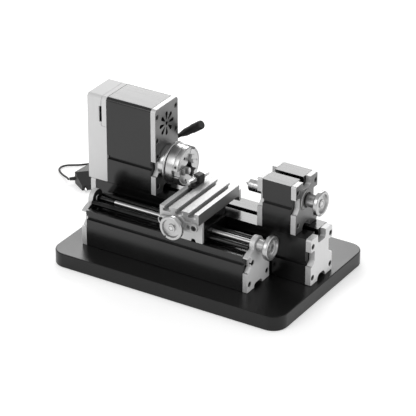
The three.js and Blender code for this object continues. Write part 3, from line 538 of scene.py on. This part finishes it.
def coil_route():
    """Almost nine turns in three layers, from the top inner turn to the bottom outer one."""
    radii = [COIL_INNER_R + LAP * k for k in range(LAYERS)]
    turns = []
    for layer in range(LAYERS):
        z = COIL_LOW_Z + LAP * (LAYERS - 1 - layer)
        turns += [(r, z) for r in (radii if layer % 2 == 0 else reversed(radii))]
    steps = 24
    ease = 0.3  # share of a turn over which the lead moves to the next one
    points = []
    last = len(turns) * steps - steps // 4  # the tail leaves a quarter turn early
    for i in range(last + 1):
        at, phase = divmod(i, steps)
        share = phase / steps
        r, z = turns[min(at, len(turns) - 1)]
        next_r, next_z = turns[min(at + 1, len(turns) - 1)]
        t = max(0.0, (share - (1 - ease)) / ease)
        t = t * t * (3 - 2 * t)
        r, z = r + (next_r - r) * t, z + (next_z - z) * t
        angle = math.pi + 2 * math.pi * share
        points.append((COIL_X + r * math.cos(angle), COIL_Y + r * math.sin(angle), z))
    return points


def smoothed(points):
    """A smooth curve through the points, as four short steps from each to the next."""
    steps = 4
    last = len(points) - 1
    smooth = []
    for i in range(last):
        a, b, c, d = (Vector(points[max(0, min(last, i + k))]) for k in (-1, 0, 1, 2))
        for k in range(steps):
            t = k / steps
            smooth.append(0.5 * (
                2 * b + (c - a) * t + (2 * a - 5 * b + 4 * c - d) * t * t
                + (3 * b - a - 3 * c + d) * t * t * t
            ))
    smooth.append(Vector(points[-1]))
    return smooth


def add_cord():
    """The whole lead, and its length in metres."""
    smooth = smoothed(LEAD_ROUTE + coil_route() + TAIL_ROUTE)
    curve = bpy.data.curves.new("power_lead", "CURVE")
    curve.dimensions = "3D"
    spline = curve.splines.new("POLY")
    spline.points.add(len(smooth) - 1)
    for target, point in zip(spline.points, smooth):
        target.co = (*(point * MM), 1)
    curve.bevel_depth = CORD_R * MM
    curve.bevel_resolution = 3
    curve.use_fill_caps = True
    curve.materials.append(MATERIALS["rubber"])
    spline.use_smooth = True
    obj = bpy.data.objects.new("power_lead", curve)
    bpy.context.collection.objects.link(obj)
    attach(obj, "frame")
    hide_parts("cord_lead", "cord_coil", "cord_tail")
    length = sum((b - a).length for a, b in zip(smooth, smooth[1:])) * MM
    return obj, round(length, 3)


def add_tie():
    """A thin band round one place in the coil."""
    bm = bmesh.new()
    inner, outer, low, high, thick, half_width = 10.2, 17.8, 17.92, 25.3, 0.28, 2.2

    def section(grow, radius):
        left, right, bottom, top = inner - grow, outer + grow, low - grow, high + grow
        return rounded([(left, bottom), (right, bottom), (right, top), (left, top)], radius, True)

    outside, inside = section(thick, 1.2), section(0, 1.0)
    edges = ((outside, -half_width), (outside, half_width), (inside, half_width), (inside, -half_width))
    loops = []
    for points, y in edges:
        loops.append([bm.verts.new((p.x * MM, y * MM, p.y * MM)) for p in points])
    for a, b in zip(loops, loops[1:] + loops[:1]):
        for i in range(len(a)):
            j = (i + 1) % len(a)
            bm.faces.new([a[i], a[j], b[j], b[i]])
    centre = Matrix.Translation((COIL_X * MM, COIL_Y * MM, 0))
    place = centre @ Matrix.Rotation(math.radians(35), 4, "Z")
    return add_piece("cord_tie", bm, "frame", "rubber", place=place)


def add_power_lead():
    cord, length = add_cord()
    tie = add_tie()
    plug = refined("power_plug", width=1.3, segments=4, turn=25)
    gland = refined("cord_gland", width=0.3, turn=40)
    pins = [refined(f"plug_pin_{number}", width=0.5, segments=3, turn=40) for number in (1, 2)]


# ---- Turned pieces ---------------------------------------------------------------------------

WHEEL = {
    "r": 14.3, "rim": 6, "back": 13.2, "dish": 10.9, "deep": 3.2, "hub": 7.3, "nut": 4.8, "bore": 2.8,
    "crank_hole": 1, "crank": 12.4, "crank_turn": 212,
}


def handwheel(node, start, face, place):
    """A dished handwheel about the X axis of `place`, with a crank hole and a hub nut."""
    w = WHEEL
    rear, floor = face - w["rim"], face - w["deep"]
    profile = [
        (w["bore"], start), (w["hub"], start), (w["hub"], rear - 1), (w["back"], rear),
        (w["r"], rear + 1.1), (w["r"], face - 1), (w["r"] - 1, face), (w["dish"], face),
        (w["dish"] - 0.8, floor), (w["nut"], floor), (w["nut"], face - 1), (w["bore"], face - 1),
    ]
    bm = lathe_mesh(profile, 72, 0.35, closed=True)
    wheel = add_round(f"{node}_fine", bm, BODY_OF[node], SLOT_OF[node], (node,), place)
    turn = math.radians(w["crank_turn"])
    cut_away(wheel, [cutter(
        drill(w["crank_hole"], rear - 1, face + 1),
        place @ along_x(w["crank"] * math.sin(turn), w["crank"] * math.cos(turn)),
    )])


def wheels():
    """The three handwheels. The cross feed's own X axis points to the operator."""
    handwheel("leadscrew_handwheel", 91.6, 109, along_x(LEADSCREW.y, LEADSCREW.z))
    handwheel("tailstock_handwheel", 123.5, 142.5, along_x(SPINDLE.y, SPINDLE.z))
    turn = Matrix.Translation(CROSS_FEED * MM) @ Matrix.Rotation(math.radians(-90), 4, "Z")
    handwheel("cross_feed_handwheel", 77.6, 91.5, turn)


# ---- Chuck -----------------------------------------------------------------------------------

JAW_ANGLES = (26, 146, 266)


def spoke(angle):
    """The spindle's frame turned so that its Z points along a direction in degrees from +Z to +Y."""
    return along_x(SPINDLE.y, SPINDLE.z) @ Matrix.Rotation(math.radians(-angle), 4, "X")


def box_mesh(low, high):
    """A box between two corners in millimetres."""
    bm = bmesh.new()
    bmesh.ops.create_cube(bm, size=1)
    low, high = Vector(low) * MM, Vector(high) * MM
    size = high - low
    scale = Matrix.Diagonal((*size, 1))
    bmesh.ops.transform(bm, matrix=Matrix.Translation((low + high) / 2) @ scale, verts=bm.verts)
    return bm


CHUCK_FACE, CHUCK_BACK, CHUCK_R, CHUCK_SIDES = -30, -50.4, 23.2, 120


def chuck_body():
    """The body with its two turned grooves, a slot and a face hole for each jaw, and key holes."""
    face, back, r = CHUCK_FACE, CHUCK_BACK, CHUCK_R
    bore, hub, step, groove_x, groove_r, groove = 6, 13, -47.3, -36.2, 20.3, 0.35
    profile = [
        (bore, back), (hub, back), (hub, step), (r - 0.8, step), (r, step + 0.8),
        (r, groove_x - 0.4), (r - groove, groove_x), (r, groove_x + 0.4),
        (r, face - 1), (r - 1, face),
        (groove_r + 0.3, face), (groove_r, face - groove), (groove_r - 0.3, face), (bore, face),
    ]
    body = turned("chuck_body", profile, SPINDLE, CHUCK_SIDES, 0.2, True)
    slot_low, slot_high = (face - 8.3, -4.3, 1), (face + 1, 4.3, r + 1)
    key_x, key_turn, key_r, key_deep = -33.9, 21, 1.5, 7
    hole_turn, hole_away, hole_r, hole_deep = 60, 16, 1.7, 3
    outward = Matrix.Rotation(math.radians(-90), 4, "Y")
    tools = []
    for angle in JAW_ANGLES:
        tools.append(cutter(box_mesh(slot_low, slot_high), spoke(angle)))
        key_spot = spoke(angle + key_turn) @ along_x(0, 0, key_x) @ outward
        tools.append(cutter(drill(key_r, r - key_deep, r + 1), key_spot))
        hole_spot = spoke(angle + hole_turn) @ along_x(0, hole_away)
        tools.append(cutter(drill(hole_r, face - hole_deep, face + 1), hole_spot))
    cut_away(body, tools)


def chuck():
    chuck_body()
    bore, r, edge, front = 13.3, 24.6, 0.6, -47.6
    ring = [
        (bore, CHUCK_BACK), (r - edge, CHUCK_BACK), (r, CHUCK_BACK + edge), (r, front - edge),
        (r - edge, front), (bore, front),
    ]
    turned("chuck_scroll_ring", ring, SPINDLE, CHUCK_SIDES, 0.15, True)
    for number in (1, 2, 3):
        refined(f"chuck_jaw_{number}", 0.35)


# ---- Rods and screws -------------------------------------------------------------------------

def leadscrew():
    """A screw with a plain left end and a thinner end for the handwheel."""
    start, plain_end, finish_end, thread, shoulder, end = -119, -96, -95.7, -95.6, 91.3, 107.8
    plain_r, thread_r, wheel_r = 3, 2.9, 2.5
    profile = [
        (0, start), (plain_r, start), (plain_r, plain_end), (thread_r, thread), (thread_r, shoulder),
        (wheel_r, shoulder), (wheel_r, end), (0, end),
    ]
    screw = turned("leadscrew", profile, LEADSCREW, 40, 0.15)
    screw.data.materials[0] = MATERIALS["screw_thread"]
    finish_or_painted_shade(screw, "black_rod", lambda face: face.center.x < finish_end * MM)


def guide_rods():
    """The rods on both sides of the leadscrew, as long as their CAD nodes."""
    apart, lower, r = 10.7, 1.4, 2.9
    for node, away in (("guide_rod_front", -apart), ("guide_rod_rear", apart)):
        corners = [v.co.x / MM for v in NODES[node].data.vertices]
        low, high = min(corners), max(corners)
        centre = LEADSCREW + Vector((0, away, -lower))
        rod = turned(node, [(0, low), (r, low), (r, high), (0, high)], centre, 40, 0.4)
        rod.data.materials[0] = MATERIALS["black_rod"]


def tailstock_rods():
    """The quill with its dead centre, and the screw with the seal where it leaves the plate."""
    sleeve = [(3.1, 51), (6.8, 51), (7.6, 51.8), (7.6, 104), (3.4, 104), (3.4, 70), (3.1, 63)]
    turned("quill", sleeve, SPINDLE, 64, 0.3, True)
    centre = [(0, 44.4), (3.8, 50.6), (2.8, 50.6), (2.8, 62), (0, 62)]
    turned("dead_centre", centre, SPINDLE, 48, 0.15)
    screw = [(0, 84), (3, 84), (3, 123.2), (2.5, 123.2), (2.5, 141.3), (0, 141.3)]
    turned("tailstock_screw", screw, SPINDLE, 40, 0.15)
    seal = [(3.4, 121.25), (8.9, 121.25), (8.9, 121.6), (3.4, 121.6)]
    place = along_x(SPINDLE.y, SPINDLE.z)
    add_round("tailstock_seal", lathe_mesh(seal, 48, 0.1, True), "tailstock", "rubber", place=place)


# ---- Plates ----------------------------------------------------------------------------------

def facing_right(x):
    """A face at x that looks along +X."""
    return along_x(0, 0, x)


def facing_front(y):
    """A face at y that looks along -Y, on which local y runs along +X."""
    return along_x(y, 0) @ Matrix.Rotation(math.radians(-90), 4, "Z")


def facing_left(x):
    """A face at x that looks along -X, on which local y runs along -Y."""
    return along_x(0, 0, x) @ Matrix.Rotation(math.radians(180), 4, "Z")


VENT_R = 15


def in_vent_wall(face):
    """Holds for the walls of the vent holes round the motor's axis, which are painted in shade."""
    away = face.center - MOTOR * MM
    return away.yz.length < VENT_R * MM and abs(face.normal.x) < 0.5


def add_vent_shade_disc():
    """A dark disc behind the vent holes, as painted shade in them."""
    back, front, r = -66.2, -66, VENT_R + 0.6
    disc = lathe_mesh([(0, back), (r, back), (r, front), (0, front)], 40, 0)
    add_round("vent_shade_disc", disc, "frame", "rubber", place=along_x(MOTOR.y, MOTOR.z))


def plates():
    """The plates that carry screws, a second finish or painted light and shade, each with its face's x
    and its screws.
    """
    rear_holes = [(27.5, 65.4), (-11.5, 65.4), (-11.5, 26.8), (27.5, 26.8)]
    front_holes = [(-54.6, 51.2), (-29.8, 51.2), (-23.6, 27.1), (-60.8, 27.1)]
    head_holes = [
        (-11.2, 170.4), (-11.2, 141.4), (-10.6, 122), (-10.2, 84.2),
        (27.2, 170.4), (27.2, 141.4), (26.6, 122), (26.2, 84.2),
    ]
    tail_holes = [(-10, 85), (26, 85), (-11.4, 125.4), (27.4, 125.4)]
    for node, x, holes in (
        ("rear_bed_right_plate", 142, rear_holes), ("front_bed_right_plate", 91, front_holes),
        ("headstock_right_plate", -59, head_holes), ("tailstock_right_plate", 121.8, tail_holes),
    ):
        plate = refined(node)
        # Painted light and shade on the faces that look along +X: a darker aluminium as painted shade on
        # the headstock and tailstock plates, the pale cover coating as painted light on the bed plates.
        side = "painted_shade_aluminium" if node.startswith(("head", "tail")) else "cover_aluminium"
        finish_or_painted_shade(plate, side, faces_right)
        if node.startswith("head"):
            # Painted shade: the walls of the vent holes are dark.
            finish_or_painted_shade(plate, "rubber", in_vent_wall)
        socket_screws(plate, BODY_OF[node], facing_right(x), holes)
    for node, x, holes in (
        ("rear_bed_left_plate", -147.1, rear_holes), ("front_bed_left_plate", -126, front_holes),
    ):
        plate = refined(node)
        if node.startswith("front"):
            finish_or_painted_shade(plate, "black_oxide", faces_right)
        socket_screws(plate, BODY_OF[node], facing_left(x), [(-y, z) for y, z in holes])
    refined("headstock_left_plate", finish="cover_aluminium")
    wing_y, wing_holes = -77.3, [(-12.3, 86), (29.3, 86)]
    wing = refined("cross_slide_front_plate")
    socket_screws(wing, "cross_slide", facing_front(wing_y), wing_holes)
    table = refined("cross_slide_table")
    past_slots = 33  # the walls of the slots lie to the left of this x
    # Painted shade: the table's right side gets a darker copy of the milled aluminium.
    finish_or_painted_shade(table, "painted_shade_mill", lambda face: faces_right(face) and face.center.x > past_slots * MM)
    add_vent_shade_disc()


# ---- Stage and light -------------------------------------------------------------------------

def area_light(name, place, target, size, size_y, power):
    """A softbox in metres and watts that looks at the target."""
    data = bpy.data.lights.new(name, "AREA")
    data.shape = "RECTANGLE"
    data.size = size
    data.size_y = size_y
    data.energy = power
    light = bpy.data.objects.new(name, data)
    light.location = place
    light.rotation_euler = (Vector(target) - Vector(place)).to_track_quat("-Z", "Y").to_euler()
    bpy.context.collection.objects.link(light)


def add_floor():
    """A wide floor just under the board."""
    half, gap = 4, 0.0005
    bm = bmesh.new()
    bmesh.ops.create_grid(bm, x_segments=2, y_segments=2, size=half)
    mesh = bpy.data.meshes.new("floor")
    bm.to_mesh(mesh)
    bm.free()
    mesh.materials.append(floor_material())
    floor = bpy.data.objects.new("floor", mesh)
    floor.location.z = -gap
    bpy.context.collection.objects.link(floor)


def add_lights():
    world = bpy.data.worlds.new("studio")
    bpy.context.scene.world = world
    world.use_nodes = True
    background = world.node_tree.nodes["Background"]
    background.inputs["Color"].default_value = (1, 1, 1, 1)
    background.inputs["Strength"].default_value = 0.6

    middle = (0, 0, 0.08)
    area_light("back_softbox", (-0.75, 1.2, 0.82), middle, 1.0, 0.6, 10)
    area_light("front_softbox", (-0.6, -1.8, 1.3), middle, 1.2, 1.2, 12)
    area_light("right_softbox", (2.0, 0.2, 0.6), middle, 1.2, 1.2, 8)
    bpy.context.scene.view_settings.view_transform = "Standard"


# ---- The whole scene -------------------------------------------------------------------------

add_camera()
add_power_lead()
wheels()
chuck()
leadscrew()
guide_rods()
tailstock_rods()
plates()
# The cord's nodes are the lead's, and every other node without a piece of its own is refined.
for node in NODES:
    if f"{node}_fine" not in bpy.data.objects and node not in ("cord_lead", "cord_coil", "cord_tail"):
        refined(node)
add_floor()
add_lights()
